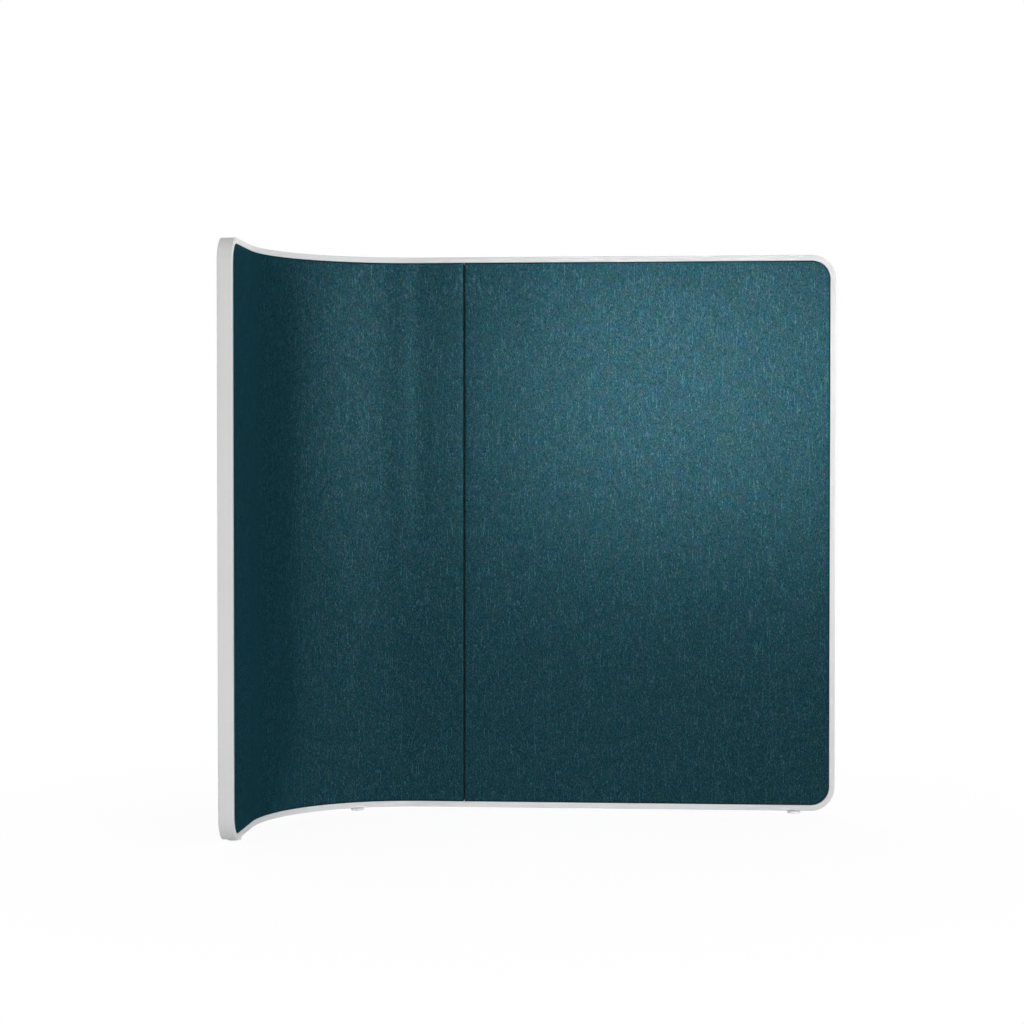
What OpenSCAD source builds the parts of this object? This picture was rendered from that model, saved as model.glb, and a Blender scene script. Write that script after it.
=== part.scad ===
// Free-standing office screen with a flat module and a module that bends through a quarter turn.
// A hollow aluminium rail frames both. Each side carries upholstered panels on a core board,
// and the screen stands on three screw-in glides.
//
// Origin: on the floor, at the middle of the plan's bounding box. +X runs along the flat
// module to its free end, +Y to the back and +Z up. The bend turns towards -Y.

/* [Overall] */
// Height from the floor to the top of the frame
overall_height = 1500; // [1200:10:1900]
// Gap between the floor and the frame with the glides screwed home
floor_gap = 8; // [7:0.5:16]

/* [Plan] */
// Length of the flat module, from the seam to its free end
flat_length = 1000; // [600:10:1600]
// Straight stretch between the seam and the bend
run_in = 115; // [105:1:300]
// Radius of the bend on the middle of the screen's depth
bend_radius = 412; // [250:1:800]
// Straight leg from the bend to the free end
leg_length = 245; // [200:1:600]

/* [Frame rail] */
// Depth of the rail, from front to back
frame_depth = 38; // [34:1:50]
// Width of the rail's face
rim_width = 15; // [14:0.5:20]
// Wall of the hollow rail
rail_wall = 2; // [1.5:0.1:2.5]
// Radius of the rail's two outer edges
outer_edge_radius = 2; // [1:0.1:3.5]
// Radius of the rail's two inner edges
inner_edge_radius = 0.8; // [0.4:0.1:1]
// Thickness of the fins that hold the core board
fin_thickness = 1.5; // [1:0.1:2]
// How far the fins stand in from the rail
fin_depth = 12; // [8:0.5:16]
// Play of the core board between the fins, each side
slot_play = 0.2; // [0.1:0.05:0.4]

/* [End corners] */
// Outer radius of the rounded corners
corner_radius = 65; // [50:1:100]
// Length of the spigots that plug into the rails
spigot_length = 30; // [20:1:40]
// Play of a spigot or splice bar in the rail's hollow, each side
spigot_play = 0.15; // [0.1:0.05:0.3]
// Diameter of the grub screws that lock the spigots
grub_diameter = 4; // [3:0.5:5]
// Length of the grub screws
grub_length = 8; // [6:0.5:10]

/* [Seam] */
// Gap between the two modules' covers
seam_gap = 2.5; // [2:0.5:8]
// Length of the splice bars inside the rails
splice_length = 160; // [120:1:200]
// Length of the bracket plates that carry the mullion
bracket_length = 80; // [76:1:100]
// Thickness of the bracket plates
bracket_thickness = 3; // [2.5:0.1:5]
// Width of the mullion's hollow core along the screen
mullion_width = 10; // [9:0.5:14]
// Wall of the mullion
mullion_wall = 2; // [1.5:0.1:2.2]
// How far the mullion's fins reach over each core board
mullion_fin_reach = 9; // [6:0.5:10]
// Length of the tenon that plugs into the mullion
tenon_length = 20; // [16:1:40]
// Play of the tenon in the mullion, each side
tenon_play = 0.1; // [0.05:0.05:0.2]
// Diameter of the cross pins through mullion and tenon
pin_diameter = 3; // [2:0.5:3]
// Diameter of the countersunk seam screws
seam_screw_diameter = 4; // [3:0.5:4.5]
// Length of the seam screws
seam_screw_length = 12; // [9:0.5:13]
// Distance of the inner seam screws from the seam
inner_screw_offset = 20; // [19:0.5:22]
// Distance of the outer seam screws from the seam
outer_screw_offset = 33; // [31:0.5:33]

/* [Infill] */
// Thickness of the core board
core_thickness = 6; // [4:0.5:8]
// Gap between the core board's edge and the rail or the mullion
core_edge_gap = 1.5; // [0.5:0.5:3]
// Shadow gap between the rail and the covers
reveal = 0.5; // [0.5:0.5:4]
// How far the covers' faces lie behind the rail's faces
face_recess = 1; // [0:0.5:2]
// Thickness of the woven fabric
fabric_thickness = 0.8; // [0.6:0.1:1.2]
// Width of the fabric turned in behind the backing board
return_width = 25; // [15:1:40]
// Thickness of the backing board in a cover
backing_thickness = 3; // [2:0.5:4]
// Play between the layers of a panel
ply_gap = 0.2; // [0.1:0.05:0.3]
// Gap between the fins and the back of a cover
cover_back_gap = 0.3; // [0.2:0.05:0.6]

/* [Touch-fastener strips] */
// Width of a strip
strip_width = 25; // [15:1:40]
// Distance of the outermost strips' middles from a panel's end
strip_margin = 80; // [70:1:85]
// Widest spacing of the strips
strip_pitch = 450; // [200:10:600]
// Gap above and below a strip
strip_end_gap = 60; // [50:1:200]
// Play of a strip against the boards, each side
strip_play = 0.1; // [0.05:0.05:0.2]

/* [Glides] */
// Diameter of a glide's pad
pad_diameter = 35; // [24:1:37]
// Chamfer on a pad's edges
pad_chamfer = 0.8; // [0.4:0.1:1.2]
// Floor of the pad under the stud
pad_floor = 2; // [1:0.1:2.5]
// Gap between pad and nut with the glide screwed home
home_gap = 0.3; // [0.2:0.05:0.5]
// Diameter of the stud's thread
stud_diameter = 8; // [6:0.5:8]
// Running play of the stud, each side
stud_play = 0.05; // [0.02:0.01:0.1]
// Height of the stud's top above the rail's underside
stud_rise = 12; // [11:0.1:12.5]
// Diameter of the threaded insert's sleeve
nut_diameter = 11; // [10.5:0.1:12]
// Diameter of the insert's flange and of its upset bulb
nut_flange_diameter = 15; // [13:0.5:18]
// Thickness of the insert's flange
nut_flange = 1; // [0.8:0.1:1.5]
// Height of the insert's bulb above the rail's wall
nut_bulb = 3; // [2:0.1:5]
// Height of the insert above the rail's underside
nut_rise = 10.5; // [9:0.1:11]
// Play of the insert in the rail, each side
nut_play = 0.05; // [0.02:0.01:0.1]
// Distance of the end glides from the screen's free ends
glide_inset = 108; // [104:1:140]
// Angle round the bend of the middle glide, from the run-in
bend_glide_angle = 25; // [10:1:80]

/* [Hidden] */
$fn = 96;

// Sides of the screen: the back is the outside of the bend, the front its inside
BACK = 1;
FRONT = -1;

// The two modules of the screen
FLAT = "flat";
CURVED = "curved";

// The part of a cut that runs past the solid it cuts
over = 1;

// Heights
frame_bottom = floor_gap;
frame_top = overall_height;
frame_height = frame_top - frame_bottom;

// Plan, on the middle of the screen's depth
half_depth = frame_depth / 2;
x_right = (flat_length + run_in + bend_radius + half_depth) / 2;
x_seam = x_right - flat_length;
x_bend = x_seam - run_in;
x_leg = x_bend - bend_radius;
y_flat = (bend_radius + leg_length - half_depth) / 2;
y_bend = y_flat - bend_radius;
y_end = y_bend - leg_length;

// Layers across the depth, from the middle plane outwards
core_face = core_thickness / 2;
fin_inner = core_face + slot_play;
fin_outer = fin_inner + fin_thickness;
cover_back = fin_outer + cover_back_gap;
cover_face = half_depth - face_recess;
backing_inner = cover_back + fabric_thickness + ply_gap;
backing_outer = backing_inner + backing_thickness;
foam_inner = backing_outer + ply_gap;
foam_outer = cover_face - fabric_thickness - ply_gap;

// Distances in from the frame's outer edge and from the seam
core_inset = rim_width + core_edge_gap;
cover_inset = rim_width + reveal;
filling_inset = cover_inset + fabric_thickness + ply_gap;
cover_seam = seam_gap / 2;
filling_seam = cover_seam + fabric_thickness + ply_gap;
core_seam = mullion_width / 2 + core_edge_gap;

// The seam's bracket plates and the room the fins and core boards leave for them
plate_top = rim_width + bracket_thickness;
bracket_room = bracket_length / 2 + 1;
screw_offsets = [-outer_screw_offset, -inner_screw_offset, inner_screw_offset, outer_screw_offset];
tapping_play = 0.05;
countersink_depth = seam_screw_diameter / 2;
tenon_x = mullion_width - 2 * (mullion_wall + tenon_play);
tenon_y = 2 * (fin_outer - mullion_wall - tenon_play);

// Glides
pad_height = floor_gap - nut_flange - home_gap;
stud_low = pad_floor + home_gap;

// Colours as the photo shows them
frame_colour = [0.87, 0.87, 0.88];
fabric_colour = [0.13, 0.26, 0.30];
foam_colour = [0.75, 0.74, 0.68];
board_colour = [0.62, 0.48, 0.33];
strip_colour = [0.12, 0.12, 0.13];
steel_colour = [0.66, 0.67, 0.69];
black_colour = [0.05, 0.05, 0.05];
pad_colour = [0.88, 0.88, 0.88];

// Frames of reference

// Rail frame: z is the distance in from the frame's outer edge
module at_bottom() {
    translate([0, 0, frame_bottom]) children();
}

module at_top() {
    translate([0, 0, frame_top]) mirror([0, 0, 1]) children();
}

// End frame: x is the distance in from the free end and y points to the back
module at_flat_end() {
    translate([x_right, y_flat, 0]) mirror([1, 0, 0]) children();
}

module at_leg_end() {
    translate([x_leg, y_end, 0]) rotate([0, 0, 90]) children();
}

module at_seam() {
    translate([x_seam, y_flat, 0]) children();
}

// Turns a section whose x is the offset to the back and y the height into the bend
module round_bend() {
    translate([x_bend, y_bend, 0]) rotate([0, 0, 90]) rotate_extrude(angle = 90)
        translate([bend_radius, 0]) children();
}

// Swaps the along and in directions of an end corner
module other_arm() {
    mirror([1, 0, -1]) children();
}

// Rail section: x across the depth, y in from the outer edge

module rail_outline() {
    wide = half_depth - outer_edge_radius;
    narrow = half_depth - inner_edge_radius;
    straight = rim_width - outer_edge_radius - inner_edge_radius;
    translate([-wide, 0]) square([2 * wide, rim_width]);
    translate([-half_depth, outer_edge_radius]) square([frame_depth, straight]);
    translate([-narrow, outer_edge_radius]) square([2 * narrow, rim_width - outer_edge_radius]);
    for (side = [FRONT, BACK]) {
        translate([side * wide, outer_edge_radius]) circle(outer_edge_radius);
        translate([side * narrow, rim_width - inner_edge_radius]) circle(inner_edge_radius);
    }
}

module fins() {
    for (side = [FRONT, BACK])
        translate([side * (fin_inner + fin_outer) / 2 - fin_thickness / 2, rim_width - rail_wall])
            square([fin_thickness, fin_depth + rail_wall]);
}

module rail_section() {
    difference() {
        union() {
            rail_outline();
            fins();
        }
        translate([rail_wall - half_depth, rail_wall])
            square([frame_depth - 2 * rail_wall, rim_width - 2 * rail_wall]);
    }
}

module corner_section() {
    rail_outline();
    fins();
}

// A run of rail along +X in the rail frame
module rail_run(length) {
    rotate([90, 0, 90]) linear_extrude(length) rail_section();
}

// Bar that fits the rail's hollow, along +X from the origin
module hollow_bar(length) {
    width = frame_depth - 2 * (rail_wall + spigot_play);
    translate([0, -width / 2, rail_wall + spigot_play])
        cube([length, width, rim_width - 2 * (rail_wall + spigot_play)]);
}

// Grub screw of an end corner's arm that lies along x, grown by play for its hole
module arm_grub(play) {
    translate([corner_radius + spigot_length / 2, 0, rim_width - grub_length])
        cylinder(d = grub_diameter + 2 * play, h = grub_length + (play > 0 ? over : 0));
}

// What the seam takes out of a rail: room for the bracket plate, and the screws' holes
module rail_seam_cuts() {
    at_seam() {
        translate([-bracket_room, -fin_outer - over, rim_width])
            cube([2 * bracket_room, 2 * (fin_outer + over), fin_depth + over]);
        for (x = screw_offsets)
            translate([x, 0, rim_width - rail_wall - over])
                cylinder(d = seam_screw_diameter + 2 * tapping_play, h = rail_wall + 2 * over);
    }
}

// Hole for a threaded insert in a bottom rail
module insert_hole() {
    translate([0, 0, -over]) cylinder(d = nut_diameter + 2 * nut_play, h = rail_wall + 2 * over);
}

module flat_rail() {
    difference() {
        translate([x_seam, y_flat, 0]) rail_run(flat_length - corner_radius);
        rail_seam_cuts();
        at_flat_end() arm_grub(tapping_play);
    }
}

module curved_rail() {
    difference() {
        union() {
            translate([x_bend, y_flat, 0]) rail_run(run_in);
            round_bend() rail_section();
            at_leg_end() translate([corner_radius, 0, 0]) rail_run(leg_length - corner_radius);
        }
        rail_seam_cuts();
        at_leg_end() arm_grub(tapping_play);
    }
}

// An upright in the end frame and the rail frame
module upright() {
    difference() {
        translate([0, 0, corner_radius])
            linear_extrude(frame_height - 2 * corner_radius) rotate(-90) rail_section();
        other_arm() arm_grub(tapping_play);
        translate([0, 0, frame_height]) mirror([0, 0, 1]) other_arm() arm_grub(tapping_play);
    }
}

// A cast corner in the end frame and the rail frame
module corner() {
    difference() {
        union() {
            translate([corner_radius, 0, corner_radius]) rotate([90, 0, 0]) rotate([0, 0, 180])
                rotate_extrude(angle = 90) translate([corner_radius, 0]) rotate(90) corner_section();
            corner_spigot();
            other_arm() corner_spigot();
        }
        arm_grub(tapping_play);
        other_arm() arm_grub(tapping_play);
    }
}

module corner_spigot() {
    translate([corner_radius - over, 0, 0]) hollow_bar(spigot_length + over);
}

module corner_grubs() {
    arm_grub(0);
    other_arm() arm_grub(0);
}

// Frame pieces

module flat_top_rail() {
    color(frame_colour) at_top() flat_rail();
}

module flat_bottom_rail() {
    color(frame_colour) difference() {
        at_bottom() flat_rail();
        at_right_glide() at_bottom() insert_hole();
    }
}

module flat_end_upright() {
    color(frame_colour) at_flat_end() at_bottom() upright();
}

module flat_top_corner() {
    color(frame_colour) at_top() at_flat_end() corner();
}

module flat_bottom_corner() {
    color(frame_colour) at_bottom() at_flat_end() corner();
}

module curved_top_rail() {
    color(frame_colour) at_top() curved_rail();
}

module curved_bottom_rail() {
    color(frame_colour) difference() {
        at_bottom() curved_rail();
        at_bend_glide() at_bottom() insert_hole();
        at_leg_glide() at_bottom() insert_hole();
    }
}

module curved_end_upright() {
    color(frame_colour) at_leg_end() at_bottom() upright();
}

module curved_top_corner() {
    color(frame_colour) at_top() at_leg_end() corner();
}

module curved_bottom_corner() {
    color(frame_colour) at_bottom() at_leg_end() corner();
}

module corner_grub_screws() {
    color(steel_colour) {
        at_bottom() at_flat_end() corner_grubs();
        at_top() at_flat_end() corner_grubs();
        at_bottom() at_leg_end() corner_grubs();
        at_top() at_leg_end() corner_grubs();
    }
}

// Seam pieces

module mullion_section() {
    difference() {
        union() {
            square([mullion_width, 2 * fin_outer], center = true);
            for (side = [FRONT, BACK])
                translate([-mullion_width / 2 - mullion_fin_reach,
                           side * (fin_inner + fin_outer) / 2 - fin_thickness / 2])
                    square([mullion_width + 2 * mullion_fin_reach, fin_thickness]);
        }
        square([mullion_width - 2 * mullion_wall, 2 * (fin_outer - mullion_wall)], center = true);
    }
}

// Cross pin of a bracket's tenon in the rail frame, grown by play for its hole
module tenon_pin(play) {
    length = 2 * fin_outer + (play > 0 ? 2 * over : 0);
    translate([0, length / 2, plate_top + tenon_length / 2])
        rotate([90, 0, 0]) cylinder(d = pin_diameter + 2 * play, h = length);
}

module seam_mullion() {
    color(black_colour) at_seam() difference() {
        translate([0, 0, frame_bottom + plate_top])
            linear_extrude(frame_height - 2 * plate_top) mullion_section();
        at_bottom() tenon_pin(tapping_play);
        at_top() tenon_pin(tapping_play);
    }
}

module seam_bracket() {
    at_seam() difference() {
        union() {
            translate([-bracket_length / 2, -fin_outer, rim_width])
                cube([bracket_length, 2 * fin_outer, bracket_thickness]);
            translate([-tenon_x / 2, -tenon_y / 2, plate_top - over])
                cube([tenon_x, tenon_y, tenon_length + over]);
        }
        for (x = screw_offsets) translate([x, 0, 0]) screw_shape(tapping_play);
        tenon_pin(tapping_play);
    }
}

// Countersunk screw in the rail frame, its head flush with the bracket plate, grown by play
module screw_shape(play) {
    radius = seam_screw_diameter / 2 + play;
    translate([0, 0, plate_top - seam_screw_length]) cylinder(r = radius, h = seam_screw_length);
    translate([0, 0, plate_top - countersink_depth])
        cylinder(r1 = radius, r2 = radius + countersink_depth, h = countersink_depth);
}

module seam_bracket_top() {
    color(steel_colour) at_top() seam_bracket();
}

module seam_bracket_bottom() {
    color(steel_colour) at_bottom() seam_bracket();
}

module mullion_pins() {
    color(black_colour) at_seam() {
        at_bottom() tenon_pin(0);
        at_top() tenon_pin(0);
    }
}

module splice_bar() {
    at_seam() difference() {
        translate([-splice_length / 2, 0, 0]) hollow_bar(splice_length);
        for (x = screw_offsets) translate([x, 0, 0]) screw_shape(tapping_play);
    }
}

module splice_bar_top() {
    color(steel_colour) at_top() splice_bar();
}

module splice_bar_bottom() {
    color(steel_colour) at_bottom() splice_bar();
}

module seam_screws() {
    color(steel_colour) at_seam() for (x = screw_offsets) {
        at_bottom() translate([x, 0, 0]) screw_shape(0);
        at_top() translate([x, 0, 0]) screw_shape(0);
    }
}

// Infill. A layer is a slab on one side of the middle plane, between two offsets from it.

// Outline seen from the front, rounded at the free end and square at the other
module end_outline(inset, length) {
    radius = corner_radius - inset;
    low = frame_bottom + inset;
    height = frame_height - 2 * inset;
    translate([inset + radius, low]) square([length - inset - radius, height]);
    translate([inset, low + radius]) square([length - inset, height - 2 * radius]);
    for (z = [low + radius, low + height - radius])
        translate([inset + radius, z]) circle(radius);
}

module end_slab(inset, length, near, far) {
    translate([0, far, 0]) rotate([90, 0, 0]) linear_extrude(far - near) end_outline(inset, length);
}

module flat_slab(inset, seam_inset, near, far) {
    at_flat_end() end_slab(inset, flat_length - seam_inset, near, far);
}

module curved_slab(inset, seam_inset, near, far) {
    at_leg_end() end_slab(inset, leg_length, near, far);
    round_bend() translate([near, frame_bottom + inset])
        square([far - near, frame_height - 2 * inset]);
    translate([x_bend, y_flat + near, frame_bottom + inset])
        cube([run_in - seam_inset, far - near, frame_height - 2 * inset]);
}

module layer(kind, side, inset, seam_inset, inner, outer) {
    near = min(side * inner, side * outer);
    far = max(side * inner, side * outer);
    if (kind == FLAT) flat_slab(inset, seam_inset, near, far);
    else curved_slab(inset, seam_inset, near, far);
}

module core_notches() {
    height = bracket_thickness + core_edge_gap;
    at_seam() for (z = [frame_bottom + rim_width, frame_top - rim_width - height])
        translate([-bracket_room, -core_face - over, z])
            cube([2 * bracket_room, 2 * (core_face + over), height]);
}

module core(kind) {
    difference() {
        layer(kind, BACK, core_inset, core_seam, -core_face, core_face);
        core_notches();
    }
}

// Fabric over the face and round the edges, turned in behind the backing board
module cover(kind, side) {
    difference() {
        layer(kind, side, cover_inset, cover_seam, cover_back, cover_face);
        layer(kind, side, cover_inset + fabric_thickness, cover_seam + fabric_thickness,
              cover_back + fabric_thickness, cover_face - fabric_thickness);
        layer(kind, side, cover_inset + return_width, cover_seam + return_width,
              cover_back - over, backing_inner);
    }
}

module foam(kind, side) {
    layer(kind, side, filling_inset, filling_seam, foam_inner, foam_outer);
}

module backing(kind, side) {
    layer(kind, side, filling_inset, filling_seam, backing_inner, backing_outer);
}

strip_low = frame_bottom + rim_width + strip_end_gap;
strip_height = frame_height - 2 * (rim_width + strip_end_gap);
strip_thickness = backing_inner - core_face - 2 * strip_play;
strip_middle = (backing_inner + core_face) / 2;

// Upright strip with its middle at the origin of the plan, on one side of the core board
module strip(side) {
    translate([-strip_width / 2, side * strip_middle - strip_thickness / 2, strip_low])
        cube([strip_width, strip_thickness, strip_height]);
}

module flat_strips(side) {
    span = flat_length - 2 * strip_margin;
    gaps = ceil(span / strip_pitch);
    at_flat_end() for (i = [0 : gaps]) translate([strip_margin + i * span / gaps, 0, 0]) strip(side);
}

module curved_strips(side) {
    sweep = strip_width / bend_radius * 180 / PI;
    count = ceil(bend_radius * PI / 2 / strip_pitch);
    at_leg_end() translate([strip_margin, 0, 0]) strip(side);
    translate([x_seam - strip_margin, y_flat, 0]) strip(side);
    translate([x_bend, y_bend, 0]) for (i = [0 : count - 1])
        rotate([0, 0, 90 + (i + 0.5) * 90 / count - sweep / 2]) rotate_extrude(angle = sweep)
            translate([bend_radius + side * strip_middle - strip_thickness / 2, strip_low])
                square([strip_thickness, strip_height]);
}

module flat_core_board() {
    color(board_colour) core(FLAT);
}

module curved_core_board() {
    color(board_colour) core(CURVED);
}

module flat_front_cover() {
    color(fabric_colour) cover(FLAT, FRONT);
}

module flat_back_cover() {
    color(fabric_colour) cover(FLAT, BACK);
}

module curved_inner_cover() {
    color(fabric_colour) cover(CURVED, FRONT);
}

module curved_outer_cover() {
    color(fabric_colour) cover(CURVED, BACK);
}

module flat_front_foam() {
    color(foam_colour) foam(FLAT, FRONT);
}

module flat_back_foam() {
    color(foam_colour) foam(FLAT, BACK);
}

module curved_inner_foam() {
    color(foam_colour) foam(CURVED, FRONT);
}

module curved_outer_foam() {
    color(foam_colour) foam(CURVED, BACK);
}

module flat_front_backing() {
    color(board_colour) backing(FLAT, FRONT);
}

module flat_back_backing() {
    color(board_colour) backing(FLAT, BACK);
}

module curved_inner_backing() {
    color(board_colour) backing(CURVED, FRONT);
}

module curved_outer_backing() {
    color(board_colour) backing(CURVED, BACK);
}

module flat_front_strips() {
    color(strip_colour) flat_strips(FRONT);
}

module flat_back_strips() {
    color(strip_colour) flat_strips(BACK);
}

module curved_inner_strips() {
    color(strip_colour) curved_strips(FRONT);
}

module curved_outer_strips() {
    color(strip_colour) curved_strips(BACK);
}

// Glides, each drawn on its own axis with the floor at z = 0

module at_right_glide() {
    translate([x_right - glide_inset, y_flat, 0]) children();
}

module at_bend_glide() {
    translate([x_bend - bend_radius * sin(bend_glide_angle),
               y_bend + bend_radius * cos(bend_glide_angle), 0]) children();
}

module at_leg_glide() {
    translate([x_leg, y_end + glide_inset, 0]) children();
}

module glide_bore(low, high) {
    translate([0, 0, low]) cylinder(d = stud_diameter + 2 * stud_play, h = high - low);
}

module rivet_nut() {
    difference() {
        union() {
            translate([0, 0, frame_bottom - nut_flange])
                cylinder(d = nut_flange_diameter, h = nut_flange);
            translate([0, 0, frame_bottom - nut_flange])
                cylinder(d = nut_diameter, h = nut_flange + nut_rise);
            translate([0, 0, frame_bottom + rail_wall])
                cylinder(d = nut_flange_diameter, h = nut_bulb);
        }
        glide_bore(frame_bottom - nut_flange - over, frame_bottom + nut_rise + over);
    }
}

module glide_stud() {
    translate([0, 0, stud_low]) cylinder(d = stud_diameter, h = frame_bottom + stud_rise - stud_low);
}

module glide_pad() {
    radius = pad_diameter / 2;
    difference() {
        rotate_extrude() polygon([
            [0, 0], [radius - pad_chamfer, 0], [radius, pad_chamfer],
            [radius, pad_height - pad_chamfer], [radius - pad_chamfer, pad_height], [0, pad_height]
        ]);
        glide_bore(pad_floor, pad_height + over);
    }
}

module rivet_nuts() {
    color(steel_colour) {
        at_right_glide() rivet_nut();
        at_bend_glide() rivet_nut();
        at_leg_glide() rivet_nut();
    }
}

module right_glide_stud() {
    color(steel_colour) at_right_glide() glide_stud();
}

module bend_glide_stud() {
    color(steel_colour) at_bend_glide() glide_stud();
}

module leg_glide_stud() {
    color(steel_colour) at_leg_glide() glide_stud();
}

module right_glide_pad() {
    color(pad_colour) at_right_glide() glide_pad();
}

module bend_glide_pad() {
    color(pad_colour) at_bend_glide() glide_pad();
}

module leg_glide_pad() {
    color(pad_colour) at_leg_glide() glide_pad();
}

flat_top_rail();
flat_bottom_rail();
flat_end_upright();
flat_top_corner();
flat_bottom_corner();
curved_top_rail();
curved_bottom_rail();
curved_end_upright();
curved_top_corner();
curved_bottom_corner();
corner_grub_screws();
seam_mullion();
seam_bracket_top();
seam_bracket_bottom();
mullion_pins();
splice_bar_top();
splice_bar_bottom();
seam_screws();
flat_core_board();
curved_core_board();
flat_front_cover();
flat_back_cover();
curved_inner_cover();
curved_outer_cover();
flat_front_foam();
flat_back_foam();
curved_inner_foam();
curved_outer_foam();
flat_front_backing();
flat_back_backing();
curved_inner_backing();
curved_outer_backing();
flat_front_strips();
flat_back_strips();
curved_inner_strips();
curved_outer_strips();
rivet_nuts();
right_glide_stud();
bend_glide_stud();
leg_glide_stud();
right_glide_pad();
bend_glide_pad();
leg_glide_pad();
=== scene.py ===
import math

import bmesh
import bpy
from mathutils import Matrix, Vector


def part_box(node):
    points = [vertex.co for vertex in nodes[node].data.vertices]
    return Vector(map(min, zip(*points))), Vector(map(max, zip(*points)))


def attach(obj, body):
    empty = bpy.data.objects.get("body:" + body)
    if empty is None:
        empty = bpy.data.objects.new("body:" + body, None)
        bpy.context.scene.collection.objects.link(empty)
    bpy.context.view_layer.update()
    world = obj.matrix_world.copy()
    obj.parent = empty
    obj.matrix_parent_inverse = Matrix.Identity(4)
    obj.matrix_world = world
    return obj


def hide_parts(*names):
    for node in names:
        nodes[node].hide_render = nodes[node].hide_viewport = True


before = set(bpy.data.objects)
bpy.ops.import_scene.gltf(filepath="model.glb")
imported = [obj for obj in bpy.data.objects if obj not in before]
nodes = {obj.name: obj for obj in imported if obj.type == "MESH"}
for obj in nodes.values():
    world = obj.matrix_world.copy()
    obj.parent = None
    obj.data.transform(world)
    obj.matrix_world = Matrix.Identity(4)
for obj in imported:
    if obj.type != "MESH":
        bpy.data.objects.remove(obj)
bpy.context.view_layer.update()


# Camera, in front of the flat module and a little above the screen's middle, on a long lens. It
# looks down by about a degree, so the top and bottom rails keep almost level.
EYE = (0.3652, -5.8435, 0.9396)
LOOK_DOWN = 1.199
LOOK_LEFT = 4.296
LENS_MM = 80.0
SENSOR_MM = 36.0

camera_data = bpy.data.cameras.new("photographers_camera")
camera_data.lens = LENS_MM
camera_data.sensor_width = SENSOR_MM
camera = bpy.data.objects.new("photographers_camera", camera_data)
camera.location = EYE
camera.rotation_euler = (math.radians(90 - LOOK_DOWN), 0, math.radians(LOOK_LEFT))
bpy.context.scene.collection.objects.link(camera)
bpy.context.scene.camera = camera
bpy.context.scene.view_settings.view_transform = "Standard"


# Studio: a pale floor in an even white room, lit by a wall of soft boxes in front of the screen and
# one behind it. The camera sees a faint shadow on the floor near the screen, and plain white further
# out.
FLOOR_RADIUS = 9.0
FLOOR_SIDES = 96
FLOOR_WHITE = 0.80
SHADOW_NEAR = 0.9
SHADOW_FAR = 1.9
SHADOW_DEPTH = 0.10
SHADOW_GLOW = 0.93
ROOM_LIGHT = 0.39

floor_mesh = bpy.data.meshes.new("studio_floor")
floor_form = bmesh.new()
bmesh.ops.create_circle(floor_form, cap_ends=True, segments=FLOOR_SIDES, radius=FLOOR_RADIUS)
floor_form.to_mesh(floor_mesh)
floor_form.free()
floor = bpy.data.objects.new("studio_floor", floor_mesh)
bpy.context.scene.collection.objects.link(floor)


def set_socket(tree, socket, value):
    """Links a socket to another one, or gives it a plain value of its own"""
    if isinstance(value, bpy.types.NodeSocket):
        tree.links.new(value, socket)
    else:
        socket.default_value = value


def add_node(tree, kind, inputs=None, **settings):
    made = tree.nodes.new("ShaderNode" + kind)
    for name, value in settings.items():
        setattr(made, name, value)
    for name, value in (inputs or {}).items():
        set_socket(tree, made.inputs[name], value)
    return made


def maths(tree, operation, *values):
    return add_node(tree, "Math", dict(enumerate(values)), operation=operation).outputs[0]


def map_range(tree, value, low, high, to_low=0.0, to_high=1.0):
    inputs = {"Value": value, "From Min": low, "From Max": high, "To Min": to_low, "To Max": to_high}
    return add_node(tree, "MapRange", inputs).outputs[0]


def surface_place(tree):
    return add_node(tree, "TexCoord").outputs["Object"]


def seen_as_background(tree):
    """1 on a ray from the camera, in a reflection or through glass, else 0"""
    rays = add_node(tree, "LightPath").outputs
    seen = maths(tree, "MAXIMUM", rays["Is Camera Ray"], rays["Is Glossy Ray"])
    return maths(tree, "MAXIMUM", seen, rays["Is Transmission Ray"])


def matt_grey(tree, grey):
    return add_node(tree, "BsdfDiffuse", {"Color": (grey, grey, grey, 1)}).outputs[0]


floor_paint = bpy.data.materials.new("studio_floor")
floor_paint.use_nodes = True
tree = floor_paint.node_tree
tree.nodes.remove(tree.nodes["Principled BSDF"])
glow = add_node(tree, "Emission", {"Strength": SHADOW_GLOW}).outputs[0]
near_screen = add_node(tree, "AddShader", {0: matt_grey(tree, SHADOW_DEPTH), 1: glow}).outputs[0]
white = add_node(tree, "Emission", {"Strength": 1.0}).outputs[0]
spot = add_node(tree, "VectorMath", {0: surface_place(tree)}, operation="LENGTH").outputs["Value"]
away = map_range(tree, spot, SHADOW_NEAR, SHADOW_FAR)
background = add_node(tree, "MixShader", {0: away, 1: near_screen, 2: white}).outputs[0]
by_ray = {0: seen_as_background(tree), 1: matt_grey(tree, FLOOR_WHITE), 2: background}
shown = add_node(tree, "MixShader", by_ray).outputs[0]
tree.links.new(shown, tree.nodes["Material Output"].inputs["Surface"])
floor_mesh.materials.append(floor_paint)

room = bpy.data.worlds.new("white_room")
room.use_nodes = True
tree = room.node_tree
strength = map_range(tree, seen_as_background(tree), 0, 1, ROOM_LIGHT, 1.0)
tree.links.new(strength, tree.nodes["Background"].inputs["Strength"])
tree.nodes["Background"].inputs["Color"].default_value = (1, 1, 1, 1)
bpy.context.scene.world = room

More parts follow.
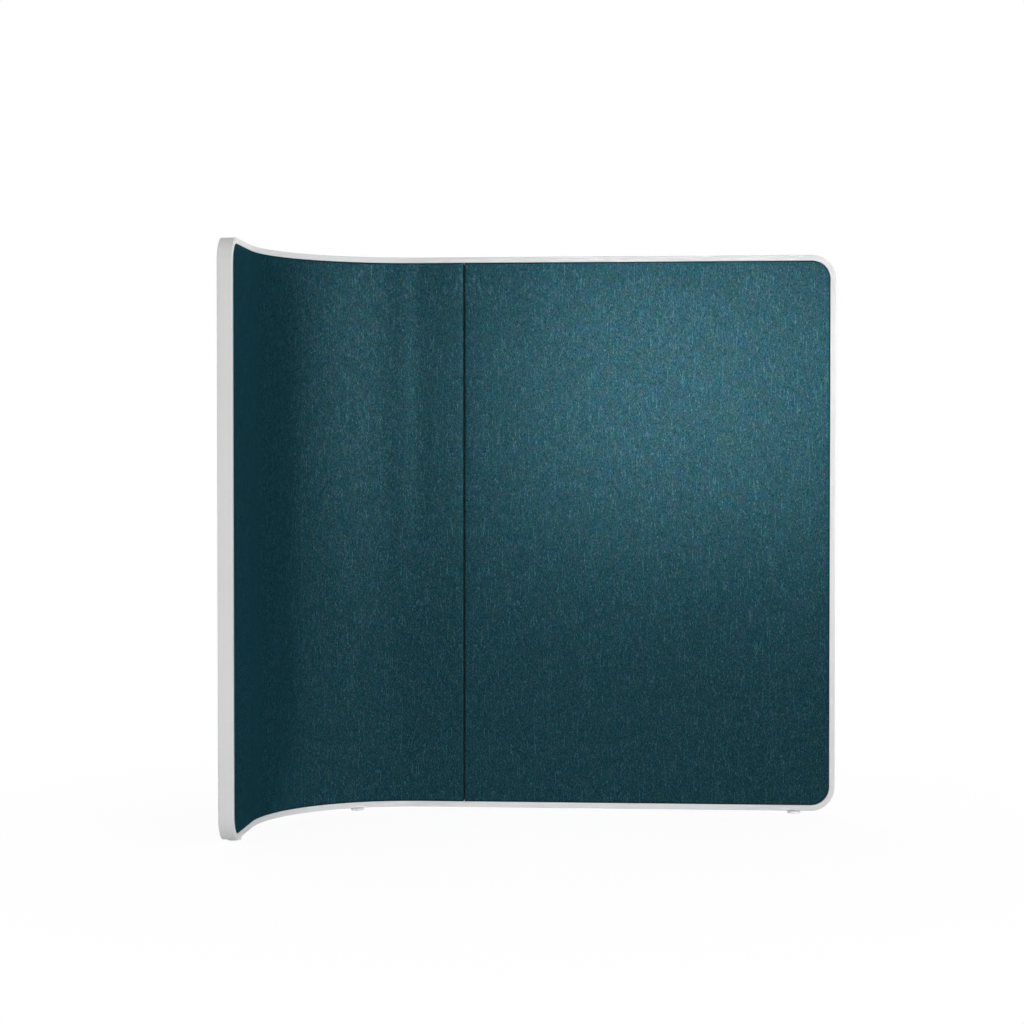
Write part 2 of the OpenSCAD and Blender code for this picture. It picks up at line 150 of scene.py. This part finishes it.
# The boxes of an arc touch each other, so that the bend mirrors no bands. An arc has a name, the
# angle of its first box, the angle between boxes, their height and the watts of each. Three gridded
# boxes throw pools of light on the panels' upper half and one, from above, on the foot, and two
# light the leg's foot and end. They are given by name, place, aim, width, height, watts and the
# angle that their light is held to.
ARC_MIDDLE = (-0.3, 0.0)
ARC_RADIUS = 6.5
ARC_HEIGHT = 1.6
ARCS = [
    ("front", 10, 12, 1.8, (10, 34, 45, 38, 31, 22, 12)),
    ("back", 150, 16, 2.3, (30, 34, 38, 38, 34, 30)),
]
OPEN_FACE = 180.0
SOFT_BOXES = [
    ("gridded_key", (0.5, -6.4, 1.5), (0.48, 0.3, 1.17), 1.3, 1.1, 0.52, 12.0),
    ("gridded_spot", (0.5, -6.4, 1.5), (0.52, 0.3, 1.10), 1.3, 1.1, 0.31, 8.0),
    ("gridded_left", (-0.1, -6.4, 1.6), (-0.1, 0.3, 1.22), 1.3, 1.1, 0.36, 14.0),
    ("gridded_foot", (-0.1, -6.0, 3.6), (-0.1, 0.3, -0.10), 1.2, 1.0, 1.0, 14.0),
    ("leg_foot_soft_box", (-1.0, -6.4, 0.6), (-0.3, 0.3, 0.2), 2.0, 0.8, 6, OPEN_FACE),
    ("end_soft_box", (5.5, 0.4, 1.2), (-0.7, 0.0, 0.9), 1.6, 2.2, 6, OPEN_FACE),
]


def soft_box(name, place, aim, width, height, watts, held_to):
    lamp_data = bpy.data.lights.new(name, "AREA")
    lamp_data.shape = "RECTANGLE"
    lamp_data.size = width
    lamp_data.size_y = height
    lamp_data.energy = watts
    lamp_data.spread = math.radians(held_to)
    lamp = bpy.data.objects.new(name, lamp_data)
    lamp.location = place
    lamp.rotation_euler = (Vector(aim) - Vector(place)).to_track_quat("-Z", "Y").to_euler()
    bpy.context.scene.collection.objects.link(lamp)


for arc, first_angle, step, height, powers in ARCS:
    width = 2 * ARC_RADIUS * math.tan(math.radians(step / 2))
    for number, watts in enumerate(powers):
        angle = math.radians(first_angle + step * number)
        place = (ARC_MIDDLE[0] + ARC_RADIUS * math.sin(angle),
                 ARC_MIDDLE[1] - ARC_RADIUS * math.cos(angle), ARC_HEIGHT)
        name = "%s_soft_box_%d" % (arc, number)
        soft_box(name, place, (*ARC_MIDDLE, ARC_HEIGHT), width, height, watts, OPEN_FACE)
for box in SOFT_BOXES:
    soft_box(*box)


# Rim: hollow aluminium rails, end uprights and cast corners, all coated with a fine light grey
# powder that is baked on. The coat is matt with a faint orange peel, and no joint shows in it.
RIM_PIECES = ["flat_top_rail", "flat_bottom_rail", "flat_end_upright", "flat_top_corner",
              "flat_bottom_corner", "curved_top_rail", "curved_bottom_rail", "curved_end_upright",
              "curved_top_corner", "curved_bottom_corner"]
COAT_GREY = (0.803, 0.803, 0.806, 1)
COAT_SHADE = (0.772, 0.772, 0.777, 1)
CLOUDS_PER_M = 7.0
PEEL_PER_M = 700.0
PEEL_DEPTH = 0.00006
NOISE_DARK = 0.3
NOISE_LIGHT = 0.7


def noise(tree, vector, scale, detail=2.0, roughness=0.5):
    inputs = {"Vector": vector, "Scale": scale, "Detail": detail, "Roughness": roughness}
    return add_node(tree, "TexNoise", inputs).outputs["Fac"]


def start_finish(name, **sockets):
    """A finish with its tree and its shader, and numbers on the shader's own sockets"""
    finish = bpy.data.materials.new(name)
    finish.use_nodes = True
    tree = finish.node_tree
    shader = tree.nodes["Principled BSDF"]
    for socket, value in sockets.items():
        shader.inputs[socket.replace("_", " ")].default_value = value
    return finish, tree, shader


def paint(tree, shader, pattern, first, second):
    """Base colour that goes from the first to the second colour as the pattern goes from 0 to 1.
    Inputs 6 and 7 and output 2 are the ones that a Mix node has for colours."""
    blend = add_node(tree, "Mix", {"Factor": pattern, 6: first, 7: second}, data_type="RGBA")
    tree.links.new(blend.outputs[2], shader.inputs["Base Color"])


def vary_roughness(tree, shader, pattern, least, most, dark=NOISE_DARK, light=NOISE_LIGHT):
    tree.links.new(map_range(tree, pattern, dark, light, least, most), shader.inputs["Roughness"])


def relief(tree, shader, height, depth):
    """Bump of that depth in metres from a height between 0 and 1"""
    bump = add_node(tree, "Bump", {"Height": height, "Distance": depth, "Strength": 1.0})
    tree.links.new(bump.outputs["Normal"], shader.inputs["Normal"])


def wear(nodes_named, finish):
    for name in nodes_named:
        mesh = nodes[name].data
        mesh.materials.clear()
        mesh.materials.append(finish)


powder_coat, tree, shader = start_finish("light_grey_powder_coat", Specular_IOR_Level=0.35)
place = surface_place(tree)
paint(tree, shader, noise(tree, place, CLOUDS_PER_M, 3.0), COAT_GREY, COAT_SHADE)
peel = noise(tree, place, PEEL_PER_M, 3.0, 0.6)
vary_roughness(tree, shader, peel, 0.46, 0.58)
relief(tree, shader, peel, PEEL_DEPTH)
wear(RIM_PIECES, powder_coat)


# Joinery inside the rim: the extruded mullion at the seam is anodised black, so that the seam stays
# dark, with faint lines along it, and its cross pins are blacked steel. The brackets, splice bars
# and all screws and threaded inserts are zinc-plated steel.
ZINC_PIECES = ["corner_grub_screws", "seam_bracket_top", "seam_bracket_bottom", "splice_bar_top",
               "splice_bar_bottom", "seam_screws", "rivet_nuts"]
ANODISED_BLACK = (0.006, 0.006, 0.007, 1)
ANODISED_GREY = (0.014, 0.014, 0.015, 1)
LINES_PER_M = (900.0, 900.0, 6.0)
LINE_DEPTH = 0.00004
BLACK_OXIDE = (0.016, 0.016, 0.017, 1)
OXIDE_BROWN = (0.008, 0.007, 0.006, 1)
STAINS_PER_M = 300.0
STAIN_DEPTH = 0.00003
ZINC_LIGHT = (0.66, 0.68, 0.70, 1)
ZINC_DARK = (0.50, 0.52, 0.56, 1)
BLOOM_PER_M = 160.0
ZINC_GRAINS_PER_M = 1400.0
ZINC_GRAIN_DEPTH = 0.00003

anodised, tree, shader = start_finish("black_anodised_aluminium", Specular_IOR_Level=0.3)
drawn = add_node(tree, "Mapping", {"Vector": surface_place(tree), "Scale": LINES_PER_M}).outputs[0]
lines = noise(tree, drawn, 1.0)
paint(tree, shader, lines, ANODISED_BLACK, ANODISED_GREY)
vary_roughness(tree, shader, lines, 0.5, 0.7)
relief(tree, shader, lines, LINE_DEPTH)
wear(["seam_mullion"], anodised)

blacked, tree, shader = start_finish("black_oxide_steel", Metallic=0.6)
stain = noise(tree, surface_place(tree), STAINS_PER_M, 4.0, 0.6)
paint(tree, shader, stain, BLACK_OXIDE, OXIDE_BROWN)
vary_roughness(tree, shader, stain, 0.38, 0.55)
relief(tree, shader, stain, STAIN_DEPTH)
wear(["mullion_pins"], blacked)

zinc_plate, tree, shader = start_finish("bright_zinc_plate", Metallic=1.0)
place = surface_place(tree)
bloom = noise(tree, place, BLOOM_PER_M, 4.0, 0.6)
paint(tree, shader, bloom, ZINC_LIGHT, ZINC_DARK)
vary_roughness(tree, shader, bloom, 0.24, 0.42)
relief(tree, shader, noise(tree, place, ZINC_GRAINS_PER_M), ZINC_GRAIN_DEPTH)
wear(ZINC_PIECES, zinc_plate)


# Boards: the core boards in the frame's slot and the backing boards in the covers are brown
# hardboard, pressed from wood fibre, with a fine felted surface.
BOARD_PIECES = ["flat_core_board", "curved_core_board", "flat_front_backing", "flat_back_backing",
                "curved_inner_backing", "curved_outer_backing"]
FIBRE_LIGHT = (0.30, 0.19, 0.105, 1)
FIBRE_DARK = (0.17, 0.10, 0.052, 1)
FIBRES_PER_M = 420.0
FELT_DEPTH = 0.0002

hardboard, tree, shader = start_finish("brown_hardboard")
fibres = noise(tree, surface_place(tree), FIBRES_PER_M, 6.0, 0.7)
paint(tree, shader, fibres, FIBRE_LIGHT, FIBRE_DARK)
vary_roughness(tree, shader, fibres, 0.5, 0.75, dark=0.2, light=0.8)
relief(tree, shader, fibres, FELT_DEPTH)
wear(BOARD_PIECES, hardboard)


# Touch-fastener strips: black nylon hook and loop that hangs each upholstered panel on its core
# board. The loops make a dense matt pile.
STRIP_PIECES = ["flat_front_strips", "flat_back_strips", "curved_inner_strips", "curved_outer_strips"]
NYLON_DARK = (0.010, 0.010, 0.011, 1)
NYLON_LIGHT = (0.034, 0.034, 0.036, 1)
LOOPS_PER_M = 1100.0
LOOP_DEPTH = 0.0004


def round_cells(tree, cells_per_m):
    """0 in the middle of each cell and more towards its wall"""
    inputs = {"Vector": surface_place(tree), "Scale": cells_per_m}
    return add_node(tree, "TexVoronoi", inputs).outputs["Distance"]


loop_pile, tree, shader = start_finish("black_touch_fastener", Roughness=0.85, Sheen_Weight=0.3)
loops = round_cells(tree, LOOPS_PER_M)
paint(tree, shader, loops, NYLON_LIGHT, NYLON_DARK)
relief(tree, shader, loops, LOOP_DEPTH)
wear(STRIP_PIECES, loop_pile)


# Foam pads: open-cell foam, about 8 mm thick, glued to each backing board, its edges pressed round
# by the cover that is pulled over it. The covers hide them.
FOAM_LIGHT = (0.62, 0.60, 0.52, 1)
FOAM_PORE_SHADE = (0.42, 0.40, 0.33, 1)
CELLS_PER_M = 1500.0
CELL_DEPTH = 0.0005
FABRIC = 0.0008
PLY_GAP = 0.0002
EDGE_ROLL = 0.0012
FACE_INSET = 0.0042
ROLL_STEPS = 5
PANELS = {
    "flat_front": ("flat", -1), "flat_back": ("flat", 1),
    "curved_inner": ("curved", -1), "curved_outer": ("curved", 1),
}
COLUMNS = {"flat": 44, "curved": 78}

# The sunk middle of each cell is painted darker, as painted shade in the pores.
foam_cells, tree, shader = start_finish("open_cell_foam", Roughness=0.9)
cells = round_cells(tree, CELLS_PER_M)
paint(tree, shader, cells, FOAM_PORE_SHADE, FOAM_LIGHT)
relief(tree, shader, cells, CELL_DEPTH)

# A pad is flat or bent, with a 53 mm radius at the two corners of the screen's free end and nearly
# square corners at the seam, where its face is pressed back. Each layer of a panel has this form,
# drawn in by its own distance. Lengths run from the free end along the rail's middle.
BEND_RADIUS = 0.412
HALF_ROUND = math.pi / 2
END_CORNER = 0.053
SEAM_CORNER = 0.002
LEAST_CORNER = 0.001
SEAM_SLOPE = (0.024, 0.0004)
SEAM_PRESS = 0.0035
SEAM_COLUMNS = (0.024, 0.017, 0.012, 0.008, 0.0055, 0.004)
ROWS = 44
CORNER_STEPS = 12
SEAM_CORNER_STEPS = 4

end_low, end_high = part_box("flat_end_upright")
x_right = end_high.x
y_flat = (end_low.y + end_high.y) / 2
leg_low, leg_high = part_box("curved_end_upright")
x_leg = (leg_low.x + leg_high.x) / 2
y_end = leg_low.y
x_bend = x_leg + BEND_RADIUS
y_bend = y_flat - BEND_RADIUS
leg_length = y_bend - y_end
bend_length = BEND_RADIUS * HALF_ROUND


def on_flat(along, back, height):
    """Where a point of the flat module is, from its way along, its offset to the back and its height"""
    return (x_right - along, y_flat + back, height)


def on_curve(along, back, height):
    """The same for the curved module, whose free end is the leg's"""
    if along < leg_length:
        return (x_leg - back, y_end + along, height)
    if along < leg_length + bend_length:
        turn = (along - leg_length) / BEND_RADIUS
        reach = BEND_RADIUS + back
        return (x_bend - reach * math.cos(turn), y_bend + reach * math.sin(turn), height)
    return (x_bend + along - leg_length - bend_length, y_flat + back, height)


def pressed_back(from_seam):
    """How far a panel's face falls back at that distance from its edge at the seam"""
    reach, fall = SEAM_SLOPE
    slope = fall * max(1 - from_seam / reach, 0.0) ** 2
    turned = max(SEAM_PRESS - from_seam, 0.0)
    return slope + SEAM_PRESS - math.sqrt(SEAM_PRESS ** 2 - turned ** 2)


def panel_columns(free, seam, half_height, inset, count):
    """(way along, half height) of each column of a panel's outline that is drawn in by inset"""
    end_round = max(END_CORNER - inset, LEAST_CORNER)
    seam_round = max(SEAM_CORNER - inset, LEAST_CORNER)
    columns = []
    for step in range(CORNER_STEPS + 1):
        angle = HALF_ROUND * step / CORNER_STEPS
        columns.append((free + inset + end_round * (1 - math.cos(angle)),
                        half_height - inset - end_round * (1 - math.sin(angle))))
    first = free + inset + end_round
    last = seam - SEAM_COLUMNS[0] - inset
    for step in range(1, count):
        columns.append((first + (last - first) * step / count, half_height - inset))
    for from_seam in SEAM_COLUMNS:
        columns.append((seam - from_seam - inset, half_height - inset))
    for step in range(SEAM_CORNER_STEPS + 1):
        angle = HALF_ROUND * (1 - step / SEAM_CORNER_STEPS)
        columns.append((seam - inset - seam_round * (1 - math.cos(angle)),
                        half_height - inset - seam_round * (1 - math.sin(angle))))
    return columns


def rim_of(columns):
    """The grid places round a panel's edge, in order, each once"""
    last = len(columns) - 1
    return ([(i, 0) for i in range(last)] + [(last, j) for j in range(ROWS)]
            + [(i, ROWS) for i in range(last, 0, -1)] + [(0, j) for j in range(ROWS, 0, -1)])


def make_panel(name, module, side, edges, seam_edge, count, profile, closed):
    """A panel layer. edges gives its free end, its seam end, its middle height and its half height.
    profile runs from the face outwards and round to the back, as (inset, offset) pairs. Its point
    attribute rim_edge is 0 on the face and 1 where the layer turns round, except at the seam."""
    free, seam, middle, half_height = edges
    put = on_flat if module == "flat" else on_curve
    mesh = bpy.data.meshes.new(name)
    form = bmesh.new()
    cloth_way = form.loops.layers.uv.new("cloth")
    rim_edge = form.verts.layers.float.new("rim_edge")
    cut_place = {}

    def grid_point(columns, i, j):
        along, half = columns[i]
        return along, half * (2 * j / ROWS - 1)

    def cloth_length(along):
        """Way along the face, which is shorter inside the bend and longer outside it"""
        if module == "flat":
            return along
        turned = min(max(along - leg_length, 0.0), bend_length) / BEND_RADIUS
        return along + turned * side * profile[0][1]

    def add_vertex(columns, cut, i, j, offset, on_face):
        along, height = grid_point(columns, i, j)
        depth = (offset - profile[-1][1]) / (profile[0][1] - profile[-1][1])
        offset -= depth * pressed_back(max(seam_edge - along, 0.0))
        vertex = form.verts.new(put(along, side * offset, middle + height))
        cut_along, cut_height = grid_point(cut, i, j)
        cut_place[vertex] = (cloth_length(cut_along), cut_height)
        # rim_edge marks the turn round the edge, where the cloth's finish paints shade into the gap.
        vertex[rim_edge] = float(not on_face and seam_edge - along > SEAM_COLUMNS[-1])
        return vertex

    def add_face(corners):
        if side * (1 if module == "flat" else -1) > 0:
            corners = corners[::-1]
        face = form.faces.new(corners)
        face.smooth = True
        for loop in face.loops:
            loop[cloth_way].uv = cut_place[loop.vert]

    def add_grid(columns, offset, known, on_face):
        grid = {}
        for i in range(len(columns)):
            for j in range(ROWS + 1):
                grid[i, j] = known.get((i, j)) or add_vertex(columns, columns, i, j, offset, on_face)
        for i in range(len(columns) - 1):
            for j in range(ROWS):
                corners = [grid[i, j], grid[i, j + 1], grid[i + 1, j + 1], grid[i + 1, j]]
                add_face(corners if on_face else corners[::-1])
        return grid

    start_inset, start_offset = profile[0]
    columns = panel_columns(free, seam, half_height, start_inset, count)
    places = rim_of(columns)
    face_grid = add_grid(columns, start_offset, {}, True)
    ring = [face_grid[place] for place in places]
    wrapped = 0.0
    for (inset, offset), (next_inset, next_offset) in zip(profile, profile[1:]):
        wrapped += math.hypot(next_inset - inset, next_offset - offset)
        columns = panel_columns(free, seam, half_height, next_inset, count)
        cut = panel_columns(free, seam, half_height, start_inset - wrapped, count)
        next_ring = [add_vertex(columns, cut, i, j, next_offset, False) for i, j in places]
        for k in range(len(places)):
            after = (k + 1) % len(places)
            add_face([ring[k], ring[after], next_ring[after], next_ring[k]])
        ring = next_ring
    if closed:
        add_grid(columns, profile[-1][1], dict(zip(places, ring)), False)
    form.normal_update()
    form.to_mesh(mesh)
    form.free()
    panel = bpy.data.objects.new(name, mesh)
    bpy.context.scene.collection.objects.link(panel)
    return panel, wrapped


def panel_edges(module, cover):
    """Free end, seam end, middle height and half height of a cover, read from its solid"""
    low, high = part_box(cover)
    middle = (low.z + high.z) / 2
    half_height = (high.z - low.z) / 2
    if module == "flat":
        return x_right - high.x, x_right - low.x, middle, half_height
    seam = leg_length + bend_length + high.x - x_bend
    return low.y - y_end, seam, middle, half_height


cover_low, cover_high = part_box("flat_front_cover")
cover_face = y_flat - cover_low.y
cover_back = y_flat - cover_high.y
foam_back = y_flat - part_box("flat_front_foam")[1].y


def rolled_edge(face):
    """The face of a layer at that offset and its rounded edge"""
    profile = [(FACE_INSET, face)]
    for step in range(ROLL_STEPS + 1):
        angle = HALF_ROUND * step / ROLL_STEPS
        profile.append((EDGE_ROLL * (1 - math.sin(angle)), face - EDGE_ROLL * (1 - math.cos(angle))))
    return profile


filling = FABRIC + PLY_GAP
for panel, (module, side) in PANELS.items():
    free, seam, middle, half_height = panel_edges(module, panel + "_cover")
    edges = (free + filling, seam - filling, middle, half_height - filling)
    profile = rolled_edge(cover_face - filling) + [(0.0, foam_back)]
    foam, _ = make_panel(panel + "_foam_pad", module, side, edges, seam, COLUMNS[module], profile,
                         closed=True)
    foam.data.materials.append(foam_cells)
    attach(foam, "screen")
    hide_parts(panel + "_foam")


# Covers: dark teal woven cloth, one piece over each pad, pulled taut round its edges and turned in
# 25 mm behind the backing board. It is pulled out almost to the rim. Its fibres are lustrous, and a
# short teal pile catches the light where the cloth is seen aslant.
RETURN_WIDTH = 0.025
BACK_ROLL = 0.0008
BACK_ROLL_STEPS = 2
PULLED_OUT = 0.0004
WARP_PITCH = 0.0015
WEFT_PITCH = 0.0018
SHADE_LENGTH = 0.0028
FLECK_LENGTH = 0.0055
STREAK_LENGTH = 0.030
TEAL = (0.0090, 0.0261, 0.0316)
SHADE_LEAST = 0.235
SHADE_SPREAD = 1.44
FLECK_SHARE = 0.055
FLECK_GAIN = 1.45
STREAK_SHARE = 0.032
STREAK_GAIN = 1.0
SPECK_SHARE = 0.12
SPECK_GAIN = -0.55
DARKEST = 0.1
# How dark the painted shade in the gap at the rim gets, and over what part of the turn it fades in.
PAINTED_EDGE_SHADE = 0.25
PAINTED_SHADE_FADE = 0.6
YARN_HUE = (0.95, 0.13, 0.42)
PATCH_HUE = (1.10, 0.16, 0.70)
PATCH_SIZE = 0.030
PILE_TEAL = (0.072, 0.55, 0.77, 1)
WEFT_RISE = 0.6
WEAVE_DEPTH = 0.00003

woven_teal, tree, shader = start_finish(
    "teal_woven_cloth", Metallic=0.5, Roughness=0.28, Specular_IOR_Level=0.0,
    Specular_Tint=(0.12, 0.12, 0.12, 1), Sheen_Weight=0.11, Sheen_Roughness=1.0, Sheen_Tint=PILE_TEAL)
cloth = add_node(tree, "UVMap", uv_map="cloth").outputs[0]
way = add_node(tree, "SeparateXYZ", {0: cloth}).outputs
warp_way = maths(tree, "DIVIDE", way["X"], WARP_PITCH)
weft_way = maths(tree, "DIVIDE", way["Y"], WEFT_PITCH)
warp_yarn = maths(tree, "FLOOR", warp_way)
weft_yarn = maths(tree, "FLOOR", weft_way)


def per_cell(tree, across, along):
    """A random value and a random colour for each cell"""
    cell = add_node(tree, "CombineXYZ", {0: across, 1: along}).outputs[0]
    return add_node(tree, "TexWhiteNoise", {"Vector": cell}, noise_dimensions="2D").outputs


def per_length(tree, yarn, along, length):
    """The same for each length of each yarn, which starts at a random place"""
    start = per_cell(tree, yarn, length)["Value"]
    stretch = maths(tree, "FLOOR", maths(tree, "ADD", maths(tree, "DIVIDE", along, length), start))
    return per_cell(tree, yarn, stretch)


def in_some(tree, value, share, gain, before):
    """Adds gain to a shade in that share of the cells"""
    chosen = maths(tree, "LESS_THAN", value, share)
    return maths(tree, "MULTIPLY_ADD", chosen, gain, before)


def vector_maths(tree, operation, *values):
    return add_node(tree, "VectorMath", dict(enumerate(values)), operation=operation).outputs[0]


def tinted(tree, colour, hue, shade):
    """Turns a random colour into one that varies about the shade by hue"""
    least = tuple(1 - part / 2 for part in hue)
    varied = vector_maths(tree, "MULTIPLY_ADD", colour, hue, least)
    return vector_maths(tree, "MULTIPLY", varied, shade)


# The upright warp is a melange: each yarn changes shade and hue every few millimetres, with bright
# flecks and long streaks. Where the cloth turns into the gap at the rim, its colour has painted shade.
piece_of_yarn = per_length(tree, warp_yarn, way["Y"], SHADE_LENGTH)
shade = maths(tree, "MULTIPLY_ADD", piece_of_yarn["Value"], SHADE_SPREAD, SHADE_LEAST)
fleck = per_length(tree, warp_yarn, way["Y"], FLECK_LENGTH)["Value"]
shade = in_some(tree, fleck, FLECK_SHARE, FLECK_GAIN, shade)
streak = per_length(tree, warp_yarn, way["Y"], STREAK_LENGTH)["Value"]
shade = in_some(tree, streak, STREAK_SHARE, STREAK_GAIN, shade)
speck = per_cell(tree, warp_yarn, weft_yarn)["Value"]
shade = in_some(tree, speck, SPECK_SHARE, SPECK_GAIN, shade)
shade = maths(tree, "MAXIMUM", shade, DARKEST)
# Painted shade: the colour is darkened where the cloth turns round into the gap at the rim.
edge = add_node(tree, "Attribute", attribute_name="rim_edge").outputs["Fac"]
shade = maths(tree, "MULTIPLY", shade, map_range(tree, edge, 0, PAINTED_SHADE_FADE, 1.0, PAINTED_EDGE_SHADE))
patch = add_node(tree, "TexNoise", {"Vector": cloth, "Scale": 1 / PATCH_SIZE, "Detail": 2.0}).outputs["Color"]
dyed = tinted(tree, patch, PATCH_HUE, TEAL)
dyed = tinted(tree, piece_of_yarn["Color"], YARN_HUE, dyed)
dyed = add_node(tree, "VectorMath", {0: dyed, "Scale": shade}, operation="SCALE").outputs[0]
tree.links.new(dyed, shader.inputs["Base Color"])

warp_hump = maths(tree, "PINGPONG", warp_way, 0.5)
weft_hump = maths(tree, "PINGPONG", weft_way, 0.5)
relief(tree, shader, maths(tree, "MULTIPLY_ADD", weft_hump, WEFT_RISE, warp_hump), WEAVE_DEPTH)

for panel, (module, side) in PANELS.items():
    free, seam, middle, half_height = panel_edges(module, panel + "_cover")
    free -= PULLED_OUT
    half_height += PULLED_OUT
    profile = rolled_edge(cover_face)
    for step in range(BACK_ROLL_STEPS + 1):
        angle = HALF_ROUND * step / BACK_ROLL_STEPS
        profile.append((BACK_ROLL * (1 - math.cos(angle)), cover_back + BACK_ROLL * (1 - math.sin(angle))))
    profile.append((RETURN_WIDTH, cover_back))
    cover, wrapped = make_panel(panel + "_upholstery", module, side, (free, seam, middle, half_height),
                                seam, COLUMNS[module], profile, closed=False)
    cover.data.materials.append(woven_teal)
    thickness = cover.modifiers.new("cloth_thickness", "SOLIDIFY")
    thickness.thickness = FABRIC
    thickness.offset = -1.0
    thickness.use_even_offset = True
    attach(cover, "screen")
    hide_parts(panel + "_cover")


# Glides: a moulded grey nylon pad on a zinc-plated M8 stud, which screws into the threaded insert
# in the bottom rail. The pad is gripped by hand, and its stud has a real thread.
PAD_GREY = (0.93, 0.93, 0.93, 1)
PAD_SHADE = (0.87, 0.87, 0.88, 1)
FLOW_PER_M = 90.0
MOULD_GRAINS_PER_M = 1800.0
MOULD_GRAIN_DEPTH = 0.00004

moulded_nylon, tree, shader = start_finish("grey_moulded_nylon", Specular_IOR_Level=0.8)
place = surface_place(tree)
flow = noise(tree, place, FLOW_PER_M, 3.0)
paint(tree, shader, flow, PAD_GREY, PAD_SHADE)
vary_roughness(tree, shader, flow, 0.28, 0.4)
relief(tree, shader, noise(tree, place, MOULD_GRAINS_PER_M), MOULD_GRAIN_DEPTH)
wear(["right_glide_pad", "bend_glide_pad", "leg_glide_pad"], moulded_nylon)

THREAD_PITCH = 0.00125
THREAD_DEPTH = 0.00068
THREAD_CREST = 0.125
THREAD_ROOT = 0.25
TURN_STEPS = 32
PITCH_STEPS = 12
CHAMFER = 0.0008


def thread_radius(outer, share):
    """Radius of the thread at a share of its pitch: crest, flank, root, flank"""
    flank = (1 - THREAD_CREST - THREAD_ROOT) / 2
    if share < THREAD_CREST:
        return outer
    if share < THREAD_CREST + flank:
        return outer - THREAD_DEPTH * (share - THREAD_CREST) / flank
    if share < 1 - flank:
        return outer - THREAD_DEPTH
    return outer - THREAD_DEPTH * (1 - share) / flank


def make_stud(name, low, high):
    """A threaded stud that fills the box from low to high"""
    mesh = bpy.data.meshes.new(name)
    form = bmesh.new()
    centre = (low + high) / 2
    outer = (high.x - low.x) / 2
    length = high.z - low.z
    rings = round(length / THREAD_PITCH * PITCH_STEPS)
    rows = []
    for step in range(rings + 1):
        height = length * step / rings
        taper = outer - max(CHAMFER - min(height, length - height), 0.0)
        row = []
        for turn in range(TURN_STEPS):
            share = (height / THREAD_PITCH - turn / TURN_STEPS) % 1.0
            radius = min(thread_radius(outer, share), taper)
            angle = 2 * math.pi * turn / TURN_STEPS
            spot = (centre.x + radius * math.cos(angle), centre.y + radius * math.sin(angle), low.z + height)
            row.append(form.verts.new(spot))
        rows.append(row)
    for row, above in zip(rows, rows[1:]):
        for turn in range(TURN_STEPS):
            after = (turn + 1) % TURN_STEPS
            form.faces.new([row[turn], row[after], above[after], above[turn]])
    form.faces.new(rows[0][::-1])
    form.faces.new(rows[-1])
    form.to_mesh(mesh)
    form.free()
    stud = bpy.data.objects.new(name, mesh)
    bpy.context.scene.collection.objects.link(stud)
    return stud


for glide in ("right", "bend", "leg"):
    stud = make_stud(glide + "_threaded_stud", *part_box(glide + "_glide_stud"))
    stud.data.materials.append(zinc_plate)
    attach(stud, glide + "_stud")
    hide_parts(glide + "_glide_stud")
